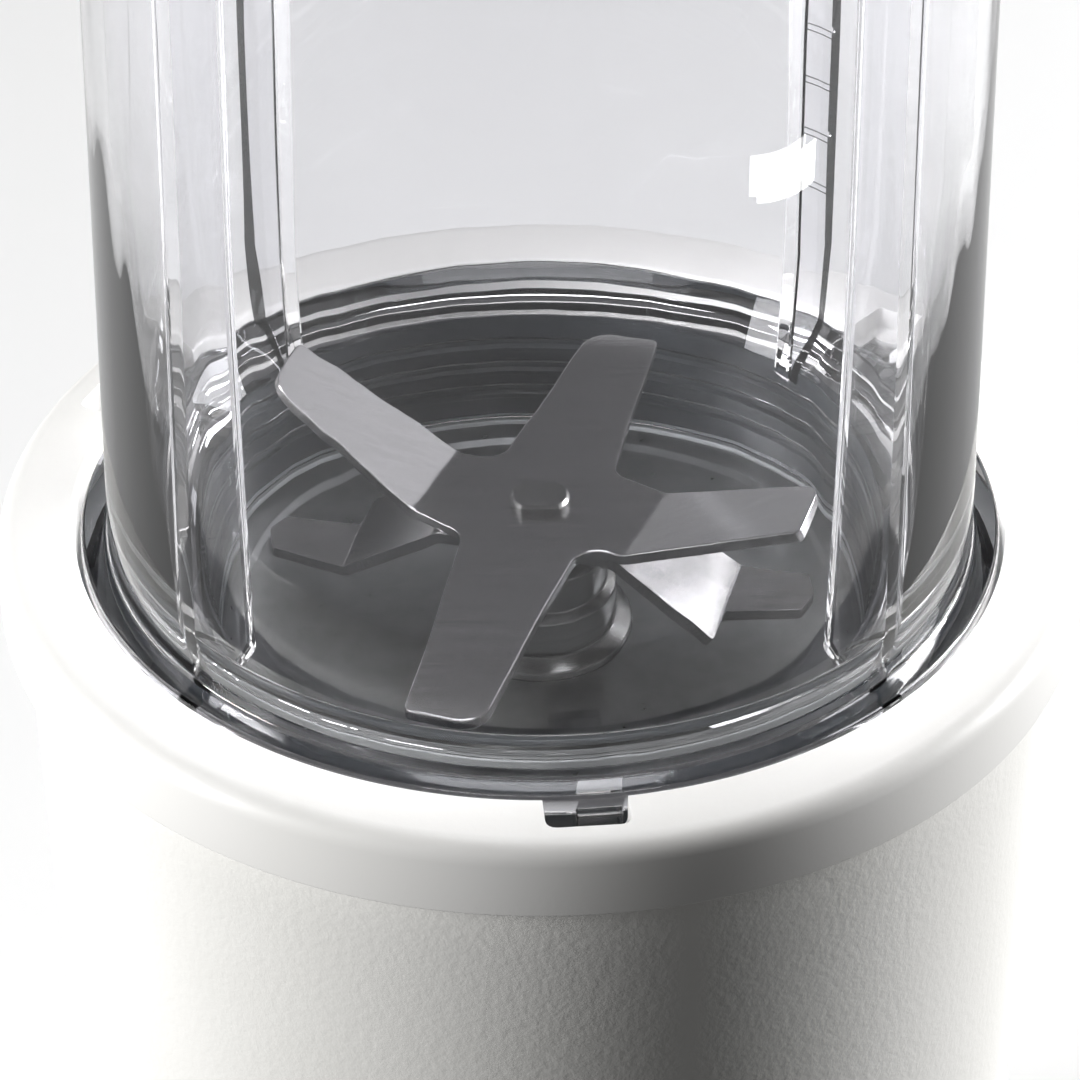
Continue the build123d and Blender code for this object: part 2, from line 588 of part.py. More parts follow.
# ---------------------------------------------------------------- cup
cup_top = RIM + CUP_HEIGHT
draft = tan(radians(CUP_DRAFT))
cup_top_r = CUP_R - (CUP_HEIGHT - CUP_CORNER) * draft
shoulder = RIM - CUP_FLANGE_TOP
flange_low = shoulder - CUP_FLANGE_T
neck_low = RIM - NECK_DEPTH
with BuildPart() as cup:
    with BuildSketch(Plane.XZ):
        with BuildLine():
            side = Line((CUP_R, shoulder), (cup_top_r, cup_top - CUP_CORNER))
            corner = RadiusArc(side @ 1, (cup_top_r - CUP_CORNER, cup_top), -CUP_CORNER)
            inner_corner = CUP_CORNER - CUP_WALL
            inner_r = cup_top_r - CUP_WALL
            inner_top = cup_top - CUP_WALL
            Polyline(
                corner @ 1,
                (0, cup_top),
                (0, inner_top),
                (inner_r - inner_corner, inner_top),
            )
            bend = RadiusArc((inner_r - inner_corner, inner_top),
                             (inner_r, inner_top - inner_corner), inner_corner)
            Polyline(
                bend @ 1,
                (CUP_R - CUP_WALL, RIM + 4.0),
                (NECK_BORE, RIM - 2.5),
                (NECK_BORE, neck_low),
                (NECK_R, neck_low),
                (NECK_R, flange_low),
                (CUP_FLANGE_R, flange_low),
                (CUP_FLANGE_R, shoulder),
                side @ 0,
            )
        make_face()
    revolve(axis=Axis.Z)
    for angle in RIB_ANGLES:
        rib_plane = Plane(origin=(0, 0, 0), x_dir=(cos(radians(angle)), sin(radians(angle)), 0),
                          z_dir=(sin(radians(angle)), -cos(radians(angle)), 0))
        with BuildSketch(rib_plane):
            with BuildLine():
                Polyline(
                    (NECK_BORE + 0.6, RIM - 5.5),
                    (RIB_REACH_R, RIM - 2.5),
                    (RIB_REACH_R - 1.4, inner_top + 0.5),
                    (inner_r - 0.2 * inner_corner, inner_top - 0.2 * inner_corner),
                    (inner_r + 0.6, inner_top - inner_corner),
                    (CUP_R - CUP_WALL + 0.6, RIM + 4.0),
                    (NECK_BORE + 0.6, RIM - 2.0),
                    close=True,
                )
            make_face()
        extrude(amount=RIB_WIDTH / 2, both=True)
    for angle in TAB_ANGLES:
        block(RIM - TAB_BOTTOM, flange_low + 0.2, 2.8, TAB_WIDTH, at=(51.7, 0), turn=angle)
        block(RIM - TAB_BOTTOM, RIM - TAB_TOP, TAB_R - 51.7, TAB_WIDTH,
              at=((TAB_R + 51.7) / 2, 0), turn=angle)
    for turn in range(3):
        low = neck_low + 2.5 + turn * THREAD_PITCH
        turned([
            (NECK_R - 0.3, low - 0.2),
            (THREAD_CREST_R, low + 0.7),
            (THREAD_CREST_R, low + 1.1),
            (NECK_R - 0.3, low + 2.0),
        ])
save(cup, "cup")

# ---------------------------------------------------------------- blade unit
floor_top = RIM - BASE_FLOOR
floor_low = floor_top - BASE_FLOOR_T
skirt_low = RIM - BASE_SKIRT
with BuildPart() as blade_base:
    turned([
        (BASE_BORE, RIM - BASE_RIM - 0.4),
        (BASE_BORE + 0.4, RIM - BASE_RIM),
        (BASE_R - 0.6, RIM - BASE_RIM),
        (BASE_R, RIM - BASE_RIM - 0.6),
        (BASE_R, skirt_low),
        (BASE_R - 2.6, skirt_low),
        (BASE_R - 2.6, floor_low),
        (10.6, floor_low),
        (10.6, floor_top),
        (BASE_BORE, floor_top),
    ])
    for index in range(36):
        block(skirt_low + 1, RIM - 11, 1.6, 2.4, at=(BASE_R, 0), turn=index * 10)
    for index in range(6):
        block(skirt_low + 4, floor_low, 31.0, 2.0, at=(32.0, 0), turn=index * 60)
save(blade_base, "blade_base")

with BuildPart() as blade_gasket:
    disc(floor_top, neck_low, BASE_BORE - 0.1, NECK_BORE + 0.2)
save(blade_gasket, "blade_gasket")

DISH_T = 0.8
with BuildPart() as blade_dish:
    turned([
        (HOUSING_R + 0.1, floor_top),
        (NECK_BORE, floor_top),
        (NECK_BORE, floor_top + 1.4),
        (39.5, floor_top + 1.4),
        (38.8, floor_top + DISH_T),
        (HOUSING_R + 0.1, floor_top + DISH_T),
    ])
save(blade_dish, "blade_dish")

housing_top = RIM - 8.2
with BuildPart() as spindle_housing:
    turned([
        (BEARING_R, floor_low - 1.2),
        (10.5, floor_low - 1.2),
        (10.5, floor_top),
        (HOUSING_R, floor_top),
        (HOUSING_R, floor_top + 1.8),
        (9.4, floor_top + 2.6),
        (9.4, floor_top + 7.6),
        (9.0, floor_top + 8.2),
        (8.1, floor_top + 8.6),
        (8.1, housing_top - 0.5),
        (7.6, housing_top),
        (BEARING_R, housing_top),
    ])
save(spindle_housing, "spindle_housing")

spindle_bearing_h = 5.0
upper_z = housing_top - 1.4 - spindle_bearing_h
lower_z = floor_low - 1.2
save(bearing(upper_z, spindle_bearing_h, BEARING_R, SPINDLE_R + SLIP), "spindle_bearing_upper")
save(bearing(lower_z, spindle_bearing_h, BEARING_R, SPINDLE_R + SLIP), "spindle_bearing_lower")
with BuildPart() as spindle_seal:
    disc(housing_top - 1.4, housing_top, BEARING_R, SPINDLE_R + SLIP)
save(spindle_seal, "spindle_seal")

# ---------------------------------------------------------------- blades and spindle
blade_z = RIM - BLADE_TOP
PIN_R = 3.5
PIN_FLAT = 5.4
coupler_roof = RIM - 29.5
with BuildPart() as spindle:
    disc(coupler_roof, blade_z - 2 * BLADE_T - 2.0, SPINDLE_R)
    with BuildSketch(Plane.XY.offset(blade_z - 2 * BLADE_T - 2.0)):
        Circle(PIN_R)
        Rectangle(2 * PIN_R, PIN_FLAT, mode=Mode.INTERSECT)
    extrude(amount=2 * BLADE_T + 2.0 + 1.3)
    chamfer(spindle.faces().sort_by(Axis.Z)[-1].edges(), 0.35)
save(spindle, "spindle")


def hub_hole(bottom, top):
    """The double-D hole that keeps a piece from turning on the spindle."""
    with BuildSketch(Plane.XY.offset(bottom)) as profile:
        Circle(PIN_R)
        Rectangle(2 * PIN_R, PIN_FLAT, mode=Mode.INTERSECT)
    extrude(profile.sketch, amount=top - bottom, mode=Mode.SUBTRACT)


def bent_strip(path):
    """The upper side of a strip of blade steel, from its lower side and its two bends."""
    lifted = []
    for index, (along, height) in enumerate(path):
        if index in (0, len(path) - 1):
            lifted.append((along, height + BLADE_T))
        else:
            before, after = path[index - 1], path[index + 1]
            rise_in = (height - before[1]) / (along - before[0])
            rise_out = (after[1] - height) / (after[0] - along)
            lean_in = rise_in / (1 + sqrt(1 + rise_in ** 2))
            lean_out = rise_out / (1 + sqrt(1 + rise_out ** 2))
            lifted.append((along - BLADE_T * (lean_in + lean_out), height + BLADE_T))
    return path + lifted[::-1]


def blade_arm(path, plan, heading):
    """One arm: a bent strip trimmed to its plan outline."""
    with BuildPart() as arm:
        with BuildSketch(Plane.XZ):
            with BuildLine():
                Polyline(*bent_strip(path), close=True)
            make_face()
        extrude(amount=12, both=True)
        with BuildSketch(Plane.XY.offset(blade_z - 40)):
            with BuildLine():
                Polyline(*plan, close=True)
            make_face()
        extrude(amount=80, mode=Mode.INTERSECT)
    return arm.part.rotate(Axis.Z, heading)


FLAT_ANGLE = 74.0
RAISED_ANGLE = 155.5
LOWER_ANGLE = 165.5
UPPER_LOW = blade_z - BLADE_T
LOWER_LOW = UPPER_LOW - BLADE_T
RAISE = tan(radians(26.6))
FLAT_PATH = [(0.0, UPPER_LOW), (42.0, UPPER_LOW)]
RAISED_PATH = [(0.0, UPPER_LOW), (13.4, UPPER_LOW), (36.0, UPPER_LOW + 22.6 * RAISE)]
LOWER_PATH = [(0.0, LOWER_LOW), (10.5, LOWER_LOW), (23.0, RIM - 14.2), (36.0, RIM - 13.6)]
FLAT_PLAN = [(0, -6.9), (11, -6.8), (38.6, -4.1), (39.6, 0.4), (38.3, 3.6), (34.3, 5.0), (9, 7.2),
             (0, 7.2)]
RAISED_PLAN = [(0, -6.6), (14.5, -6.3), (34.6, -5.2), (35.6, -1.5), (33.6, 3.2), (28.6, 4.6),
               (13.6, 6.6), (0, 6.8)]
LOWER_PLAN = [(0, -7.0), (10, -7.2), (22.6, -8.3), (23.4, -2.8), (33.0, -0.8), (34.2, 2.4),
              (33.0, 5.8), (23, 6.3), (11, 7.3), (0, 7.0)]

def grind(start, end, normal):
    """Take the ground bevel off along an edge of the upper side, walked with the steel on the
    left."""
    along = (end - start).normalized()
    with BuildSketch(Plane(origin=start, x_dir=normal.cross(along), z_dir=along)) as profile:
        with BuildLine():
            Polyline((GRIND_WIDTH, 0), (GRIND_WIDTH, 1), (-1, 1),
                     (-1, -GRIND_DEPTH * (1 + 1 / GRIND_WIDTH)), close=True)
        make_face()
    extrude(profile.sketch, amount=(end - start).length, mode=Mode.SUBTRACT)


with BuildPart() as upper_blade:
    disc(UPPER_LOW, blade_z, 9.5)
    for turn in (0, 180):
        add(blade_arm(FLAT_PATH, FLAT_PLAN, FLAT_ANGLE + turn))
        add(blade_arm(RAISED_PATH, RAISED_PLAN, RAISED_ANGLE + turn))
    hub_hole(UPPER_LOW - 1, blade_z + 1)
save(upper_blade, "upper_blade")

with BuildPart() as lower_arm:
    add(blade_arm(LOWER_PATH, LOWER_PLAN, 0))
    (top_x, top_z), (low_x, low_z) = LOWER_PATH[1:3]
    slope = (low_z - top_z) / (low_x - top_x)
    rise = BLADE_T * sqrt(1 + slope ** 2) + top_z - slope * top_x
    start, end = [Vector(x, y, rise + slope * x) for x, y in LOWER_PLAN[1:3]]
    grind(start, end, Vector(-slope, 0, 1).normalized())

with BuildPart() as lower_blade:
    disc(LOWER_LOW, UPPER_LOW, 8.5)
    for turn in (0, 180):
        add(lower_arm.part.rotate(Axis.Z, LOWER_ANGLE + turn))
    hub_hole(LOWER_LOW - 1, UPPER_LOW + 1)
save(lower_blade, "lower_blade")

with BuildPart() as blade_washer:
    disc(LOWER_LOW - 2.0, LOWER_LOW, 6.5)
    hub_hole(LOWER_LOW - 2.0, LOWER_LOW)
save(blade_washer, "blade_washer")

with BuildPart() as driven_coupler:
    disc(skirt_low - 0.5, RIM - 27.0, 13.0)
    with BuildSketch(Plane.XY.offset(skirt_low - 0.5)):
        toothed_outline(TOOTH_ROOT_R + RUN, TOOTH_TIP_R + RUN, 3.0 + 2 * RUN)
    extrude(amount=coupler_roof - skirt_low + 0.5, mode=Mode.SUBTRACT)
    disc(coupler_roof, RIM - 27.0, SPINDLE_R, mode=Mode.SUBTRACT)
save(driven_coupler, "driven_coupler")

with BuildPart() as spindle_clip:
    disc(RIM - 26.9, RIM - 26.4, 5.8, SPINDLE_R)
    block(RIM - 26.9, RIM - 26.4, 4.0, 3.0, at=(5.5, 0), mode=Mode.SUBTRACT)
save(spindle_clip, "spindle_clip")
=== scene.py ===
# %% [markdown]
# # A countertop blender
# The object is a small blender.  A clear cup stands upside down on a blade unit, and three tabs
# on the cup lock it into the white collar of a motor base.  The CAD model gives every working
# piece its size and place.  Here each piece gets its real surface, and the pieces whose look
# depends on smooth curves, such as the cup, the housings and the blades, are modelled again.

# %% Load the fixed frame
import math

import bpy
from mathutils import Matrix, Vector


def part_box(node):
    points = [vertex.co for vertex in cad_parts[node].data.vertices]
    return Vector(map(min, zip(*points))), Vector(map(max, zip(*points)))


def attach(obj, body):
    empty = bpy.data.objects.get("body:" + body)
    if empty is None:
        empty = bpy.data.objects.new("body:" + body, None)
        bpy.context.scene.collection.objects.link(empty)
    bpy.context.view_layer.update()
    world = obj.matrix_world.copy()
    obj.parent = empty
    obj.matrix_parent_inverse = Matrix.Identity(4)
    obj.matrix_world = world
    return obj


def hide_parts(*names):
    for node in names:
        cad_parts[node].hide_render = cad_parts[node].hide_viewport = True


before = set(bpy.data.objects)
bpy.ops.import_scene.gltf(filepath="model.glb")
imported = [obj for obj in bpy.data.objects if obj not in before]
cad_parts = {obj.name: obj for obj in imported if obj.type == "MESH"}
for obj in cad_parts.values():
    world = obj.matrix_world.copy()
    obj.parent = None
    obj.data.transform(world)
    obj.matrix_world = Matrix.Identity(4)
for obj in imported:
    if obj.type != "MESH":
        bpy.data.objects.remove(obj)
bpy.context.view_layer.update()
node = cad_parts
MM = 0.001
rim_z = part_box("collar_ring")[1].z

# %% [markdown]
# ## Drawing and turning
# Most of this object is round, because it was moulded or turned round one upright axis.  So the
# main helper draws half of a section by extruding a single vertex from corner to corner, and
# spins it once round.  A moulded edge is never quite sharp, so each corner may carry a rounding,
# which is an arc of a few points.  All sizes are in millimetres, and heights are counted from the
# collar's top face.

# %% Selection and outlines
def only(piece=None):
    """Leave edit mode and select just this piece."""
    if bpy.context.object and bpy.context.object.mode != "OBJECT":
        bpy.ops.object.mode_set(mode="OBJECT")
    bpy.ops.object.select_all(action="DESELECT")
    if piece:
        piece.select_set(True)
        bpy.context.view_layer.objects.active = piece


def rounded(corners, steps=4):
    """The points of a closed outline of (x, y) or (x, y, rounding) corners."""
    points = []
    for index, corner in enumerate(corners):
        here = Vector(corner[:2])
        back = (Vector(corners[index - 1][:2]) - here).normalized()
        ahead = (Vector(corners[(index + 1) % len(corners)][:2]) - here).normalized()
        if len(corner) == 2:
            points.append(here)
            continue
        half = back.angle(ahead) / 2
        middle = here + (back + ahead).normalized() * corner[2] / math.sin(half)
        start = here + back * corner[2] / math.tan(half) - middle
        end = here + ahead * corner[2] / math.tan(half) - middle
        points += [middle + start.slerp(end, step / steps).normalized() * corner[2]
                   for step in range(steps + 1)]
    return points


def draw(name, points):
    """A closed wire outline through points in metres, at the world origin."""
    only()
    bpy.ops.mesh.primitive_plane_add(size=MM, location=points[0])
    piece = bpy.context.active_object
    piece.name = name
    bpy.ops.object.transform_apply(location=True)
    bpy.ops.object.mode_set(mode="EDIT")
    bpy.ops.mesh.select_all(action="SELECT")
    bpy.ops.mesh.merge(type="CENTER")
    for before, after in zip(points, points[1:] + points[:1]):
        step = Vector(after) - Vector(before)
        bpy.ops.mesh.extrude_region_move(TRANSFORM_OT_translate={"value": step})
    bpy.ops.mesh.select_all(action="SELECT")
    bpy.ops.mesh.remove_doubles(threshold=1e-6)
    return piece


# %% Turned pieces, slabs and rings
SMOOTH_BELOW = math.radians(32)


def close_up(piece):
    """Merge doubles, point the faces outwards and smooth the shallow edges."""
    bpy.context.view_layer.objects.active = piece
    bpy.ops.mesh.select_all(action="SELECT")
    bpy.ops.mesh.remove_doubles(threshold=2e-6)
    bpy.ops.mesh.normals_make_consistent(inside=False)
    only(piece)
    bpy.ops.object.shade_smooth_by_angle(angle=SMOOTH_BELOW)
    return piece


def lathe(name, corners, steps=160):
    """A turned piece from half of its section, as (radius, height) corners."""
    profile = [(x * MM, 0, rim_z + y * MM) for x, y in rounded(corners)]
    piece = draw(name, profile)
    bpy.ops.mesh.spin(steps=steps, angle=math.tau, center=(0, 0, 0), axis=(0, 0, 1))
    return close_up(piece)


def slab(name, corners, width):
    """A piece of one section, drawn over the X axis, with its width centred on that axis."""
    profile = [(x * MM, -width * MM / 2, rim_z + y * MM) for x, y in rounded(corners)]
    piece = draw(name, profile)
    bpy.ops.mesh.edge_face_add()
    bpy.ops.mesh.extrude_region_move(TRANSFORM_OT_translate={"value": (0, width * MM, 0)})
    return close_up(piece)


def ring_part(name, inner, outer, low, high, middle, span):
    """A piece of a ring, centred on an angle in degrees."""
    corners = [(inner, low), (outer, low), (outer, high), (inner, high)]
    piece = draw(name, [(x * MM, 0, rim_z + y * MM) for x, y in corners])
    bpy.ops.mesh.spin(steps=24, angle=math.radians(span), center=(0, 0, 0), axis=(0, 0, 1))
    bpy.ops.mesh.select_all(action="SELECT")
    bpy.ops.mesh.fill_holes(sides=0)
    close_up(piece)
    reach = [math.atan2(v.co.y, v.co.x) for v in piece.data.vertices]
    turn = math.radians(middle) - (min(reach) + max(reach)) / 2
    piece.data.transform(Matrix.Rotation(turn, 4, "Z"))
    return piece


# %% Copies and cuts
def around(piece, angles):
    """Copies of a piece turned about the upright axis, joined into one piece."""
    made = []
    for angle in angles:
        copy = piece.copy()
        copy.data = piece.data.copy()
        bpy.context.scene.collection.objects.link(copy)
        copy.data.transform(Matrix.Rotation(math.radians(angle), 4, "Z"))
        made.append(copy)
    name = piece.name
    bpy.data.objects.remove(piece)
    return joined(name, made)


def joined(name, pieces):
    """Several pieces as one, which keeps the first one's place and takes the name."""
    only(pieces[0])
    for piece in pieces:
        piece.select_set(True)
    if len(pieces) > 1:
        bpy.ops.object.join()
    pieces[0].name = name
    return pieces[0]


def combine(piece, tool, operation="DIFFERENCE"):
    """Cut or add a tool piece, and take it away."""
    only(piece)
    modifier = piece.modifiers.new("combine", "BOOLEAN")
    modifier.operation = operation
    modifier.solver = "EXACT"
    modifier.object = tool
    bpy.ops.object.modifier_apply(modifier="combine")
    bpy.data.objects.remove(tool)
    bpy.ops.object.shade_smooth_by_angle(angle=SMOOTH_BELOW)


def soften(piece, width, segments=2, above=40):
    """A small bevel on every edge that is sharper than an angle in degrees."""
    only(piece)
    modifier = piece.modifiers.new("soften", "BEVEL")
    modifier.width = width * MM
    modifier.segments = segments
    modifier.limit_method = "ANGLE"
    modifier.angle_limit = math.radians(above)
    bpy.ops.object.modifier_apply(modifier="soften")
    bpy.ops.object.shade_smooth_by_angle(angle=SMOOTH_BELOW)


def install(piece, body, slot, material, *replaced):
    """Give a finished piece its material, its body and the CAD nodes it stands for."""
    piece.data.materials.clear()
    piece.data.materials.append(material)
    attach(piece, body)
    if replaced:
        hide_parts(*replaced)
    print(piece.name, len(piece.data.polygons), "faces on", body)


# %% [markdown]
# ## Colour and nodes
# Colours are written as the hex values of a paint chart, and one function turns them to the
# linear values that a renderer needs.  Another adds a node with its settings and its links.

# %% Colour and node helpers
def linear(hex_colour):
    """An sRGB hex colour as linear RGBA."""
    parts = [int(hex_colour[i:i + 2], 16) / 255 for i in (1, 3, 5)]
    return [c / 12.92 if c <= 0.04045 else ((c + 0.055) / 1.055) ** 2.4 for c in parts] + [1.0]


def add_node(tree, kind, links=None, **settings):
    """A node with its settings; links maps an input's name to another node's output."""
    made = tree.nodes.new(kind)
    for key, value in settings.items():
        name = key.replace("_", " ")
        if name in made.inputs:
            made.inputs[name].default_value = value
        else:
            setattr(made, key, value)
    for name, output in (links or {}).items():
        tree.links.new(output, made.inputs[name])
    return made


def start_material(name, colour, roughness, metallic=0.0, ior=1.5):
    """A new material, its node tree and its shader."""
    material = bpy.data.materials.new(name)
    material.use_nodes = True
    tree = material.node_tree
    shader = tree.nodes["Principled BSDF"]
    shader.inputs["Base Color"].default_value = linear(colour)
    shader.inputs["Roughness"].default_value = roughness
    shader.inputs["Metallic"].default_value = metallic
    shader.inputs["IOR"].default_value = ior
    material.diffuse_color = linear(colour)
    return material, tree, shader


def put_on(material, *names):
    """Give CAD nodes this material."""
    for name in names:
        slots = node[name].data.materials
        slots.clear()
        slots.append(material)


# %% [markdown]
# ## Moulded plastics
# A moulded part copies the steel of its mould, so its surface is an even fine grain, and its
# colour drifts a little where the melt flowed.  One recipe gives all of them: a noise of the
# grain's real size for the relief and a small change in gloss, and a slow noise for the drift in
# tone.  What differs is the colour, the grain's size in millimetres and how deep it is.

# %% The moulded plastic recipe
def moulded(name, colour, drift, roughness, grain, relief, ior=1.5):
    """A moulded plastic; drift is its second tone, grain and relief are in millimetres."""
    material, tree, shader = start_material(name, colour, roughness, ior=ior)
    place = add_node(tree, "ShaderNodeTexCoord").outputs["Object"]
    slow = add_node(tree, "ShaderNodeTexNoise", {"Vector": place}, Scale=1 / (35 * MM), Detail=2.0)
    tone = add_node(tree, "ShaderNodeValToRGB", {"Fac": slow.outputs["Fac"]})
    tone.color_ramp.elements[0].color = linear(drift)
    tone.color_ramp.elements[0].position = 0.3
    tone.color_ramp.elements[1].color = linear(colour)
    tone.color_ramp.elements[1].position = 0.7
    tree.links.new(tone.outputs["Color"], shader.inputs["Base Color"])
    fine = add_node(tree, "ShaderNodeTexNoise", {"Vector": place}, Scale=1 / (grain * MM),
                    Detail=3.0, Roughness=0.6)
    gloss = add_node(tree, "ShaderNodeMapRange", {"Value": fine.outputs["Fac"]},
                     To_Min=roughness * 0.85, To_Max=min(1.0, roughness * 1.2))
    tree.links.new(gloss.outputs["Result"], shader.inputs["Roughness"])
    bump = add_node(tree, "ShaderNodeBump", {"Height": fine.outputs["Fac"]},
                    Strength=0.6, Distance=relief * MM)
    tree.links.new(bump.outputs["Normal"], shader.inputs["Normal"])
    return material


# Leather-grained mould: dull, and the relief shows as fine speckle in raking light.
shell_abs = moulded("moulded_grained_white_abs", "#e9e8e5", "#e3e2de", 0.55, 1.1, 0.11, 1.53)
# Finely blasted mould: the same resin, smoother, with a soft sheen.
collar_abs = moulded("satin_white_abs", "#efeeec", "#ebeae7", 0.38, 0.7, 0.015, 1.53)
# Polished mould with a dark resin: nearly a mirror at a low angle.
dark_abs = moulded("polished_dark_abs", "#34373a", "#2e3134", 0.1, 3.0, 0.012, 1.53)
liner_abs = moulded("satin_grey_abs", "#8d8f91", "#858789", 0.34, 0.9, 0.02, 1.53)
cover_pp = moulded("moulded_grey_polypropylene", "#4b4d50", "#434548", 0.5, 0.8, 0.05, 1.49)
black_nylon = moulded("glass_filled_black_nylon", "#1d1e20", "#26272a", 0.42, 0.6, 0.03, 1.53)
cream_nylon = moulded("natural_nylon", "#e0d6bd", "#d6cbb0", 0.45, 0.9, 0.02, 1.53)
rubber = moulded("moulded_black_rubber", "#232324", "#2c2c2d", 0.75, 0.5, 0.05, 1.52)
print("plastics", len(bpy.data.materials))

# %% [markdown]
# ## Silicone and the clear cup
# The gasket is a milky silicone: light goes into it and scatters.  The cup is moulded in a clear
# copolyester with an IOR of about 1.55 and a faint cold tint.  Its polished walls are not quite
# flat: the melt ran along the cup, which leaves waves a few millimetres wide and several
# centimetres long, and they pull reflections into upright streaks.

# %% Silicone and copolyester
silicone, tree, shader = start_material("milky_silicone", "#b9bcbe", 0.4, ior=1.41)
shader.inputs["Subsurface Weight"].default_value = 0.3
shader.inputs["Subsurface Radius"].default_value = (0.002, 0.002, 0.002)
place = add_node(tree, "ShaderNodeTexCoord").outputs["Object"]
cloud = add_node(tree, "ShaderNodeTexNoise", {"Vector": place}, Scale=1 / (4 * MM))
bump = add_node(tree, "ShaderNodeBump", {"Height": cloud.outputs["Fac"]},
                Strength=0.2, Distance=0.05 * MM)
tree.links.new(bump.outputs["Normal"], shader.inputs["Normal"])

clear_cup, tree, shader = start_material("clear_copolyester", "#f9f9fb", 0.01, ior=1.55)
shader.inputs["Transmission Weight"].default_value = 1.0
place = add_node(tree, "ShaderNodeTexCoord").outputs["Object"]
flow_size = (1 / (9 * MM), 1 / (9 * MM), 1 / (70 * MM))
flow = add_node(tree, "ShaderNodeMapping", {"Vector": place}, Scale=flow_size)
waves = add_node(tree, "ShaderNodeTexNoise", {"Vector": flow.outputs["Vector"]},
                 Scale=1.0, Detail=1.0)
bump = add_node(tree, "ShaderNodeBump", {"Height": waves.outputs["Fac"]},
                Strength=0.35, Distance=0.25 * MM)
tree.links.new(bump.outputs["Normal"], shader.inputs["Normal"])
print("clear materials made")

# %% [markdown]
# ## Metals
# A ground or turned metal shows the lines of the tool.  They are far finer than a render can
# show, so they are drawn a few times coarser than real, as a noise squeezed along one direction.
# Each metal keeps its own colour and takes its gloss from how it was worked.

# %% The worked metal recipe
def worked_metal(name, colour, drift, roughness, line, run, relief):
    """A worked metal; line is (x, y, z) in millimetres, the size of a tool mark each way."""
    material, tree, shader = start_material(name, colour, roughness, metallic=1.0)
    place = add_node(tree, "ShaderNodeTexCoord").outputs["Object"]
    along = add_node(tree, "ShaderNodeMapping", {"Vector": place},
                     Scale=[1 / (size * MM) for size in line], Rotation=(0, 0, run))
    marks = add_node(tree, "ShaderNodeTexNoise", {"Vector": along.outputs["Vector"]},
                     Scale=1.0, Detail=3.0, Roughness=0.6)
    tone = add_node(tree, "ShaderNodeValToRGB", {"Fac": marks.outputs["Fac"]})
    tone.color_ramp.elements[0].color = linear(drift)
    tone.color_ramp.elements[0].position = 0.25
    tone.color_ramp.elements[1].color = linear(colour)
    tone.color_ramp.elements[1].position = 0.75
    tree.links.new(tone.outputs["Color"], shader.inputs["Base Color"])
    gloss = add_node(tree, "ShaderNodeMapRange", {"Value": marks.outputs["Fac"]},
                     To_Min=roughness * 0.75, To_Max=roughness * 1.3)
    tree.links.new(gloss.outputs["Result"], shader.inputs["Roughness"])
    bump = add_node(tree, "ShaderNodeBump", {"Height": marks.outputs["Fac"]},
                    Strength=0.3, Distance=relief * MM)
    tree.links.new(bump.outputs["Normal"], shader.inputs["Normal"])
    return material


# Surface-ground strip steel: mirror-like with a faint soft line.
blade_steel = worked_metal("ground_stainless_steel", "#b9b8b9", "#aeadae", 0.2,
                           (14, 0.5, 4), 0.3, 0.004)
pressed_steel = worked_metal("pressed_stainless_steel", "#8d8e90", "#828385", 0.3, (3, 3, 3), 0,
                             0.02)
turned_steel = worked_metal("turned_stainless_steel", "#b4b4b3", "#a3a3a2", 0.22,
                            (20, 20, 0.35), 0, 0.006)
plated_steel = worked_metal("zinc_plated_steel", "#b7b9bb", "#9da0a4", 0.35, (2, 2, 2), 0, 0.01)
zinc_casting = worked_metal("die_cast_zinc", "#8e8f90", "#7a7c7e", 0.5, (1.6, 1.6, 1.6), 0, 0.05)
copper_bar = worked_metal("turned_copper", "#c47a4c", "#a9633a", 0.3, (8, 8, 0.3), 0, 0.006)
print("materials with the metals", len(bpy.data.materials))

# %% Laminations, windings and carbon
lamination, tree, shader = start_material("stamped_lamination_stack", "#5a5b5d", 0.5, metallic=1.0)
place = add_node(tree, "ShaderNodeTexCoord").outputs["Object"]
LAMINATION = 1.0  # real sheets are 0.5 mm; drawn twice as thick so that they show
sheets = add_node(tree, "ShaderNodeTexWave", {"Vector": place}, bands_direction="Z",
                  Scale=math.tau / (20 * LAMINATION * MM))
tone = add_node(tree, "ShaderNodeValToRGB", {"Fac": sheets.outputs["Fac"]})
tone.color_ramp.elements[0].color = linear("#3a3b3d")
tone.color_ramp.elements[1].color = linear("#77787a")
tree.links.new(tone.outputs["Color"], shader.inputs["Base Color"])
bump = add_node(tree, "ShaderNodeBump", {"Height": sheets.outputs["Fac"]}, Strength=0.4,
                Distance=0.1 * MM)
tree.links.new(bump.outputs["Normal"], shader.inputs["Normal"])

winding, tree, shader = start_material("enamelled_copper_winding", "#a4552b", 0.3, metallic=0.8)
shader.inputs["Coat Weight"].default_value = 0.6
place = add_node(tree, "ShaderNodeTexCoord").outputs["Object"]
WIRE = 0.8  # wire diameter
turns = add_node(tree, "ShaderNodeTexWave", {"Vector": place}, bands_direction="DIAGONAL",
                 Scale=math.tau / (20 * WIRE * MM), Distortion=1.5, Detail=2.0)
tone = add_node(tree, "ShaderNodeValToRGB", {"Fac": turns.outputs["Fac"]})
tone.color_ramp.elements[0].color = linear("#5b2a14")
tone.color_ramp.elements[1].color = linear("#c06a38")
tree.links.new(tone.outputs["Color"], shader.inputs["Base Color"])
bump = add_node(tree, "ShaderNodeBump", {"Height": turns.outputs["Fac"]}, Strength=0.7,
                Distance=0.3 * MM)
tree.links.new(bump.outputs["Normal"], shader.inputs["Normal"])

carbon = moulded("pressed_carbon", "#2a2a2b", "#1f1f20", 0.6, 0.3, 0.03)
print("materials", len(bpy.data.materials))

# %% [markdown]
# ## Finishes of the working parts
# These shapes are right as the CAD model has them, so they only take their material.

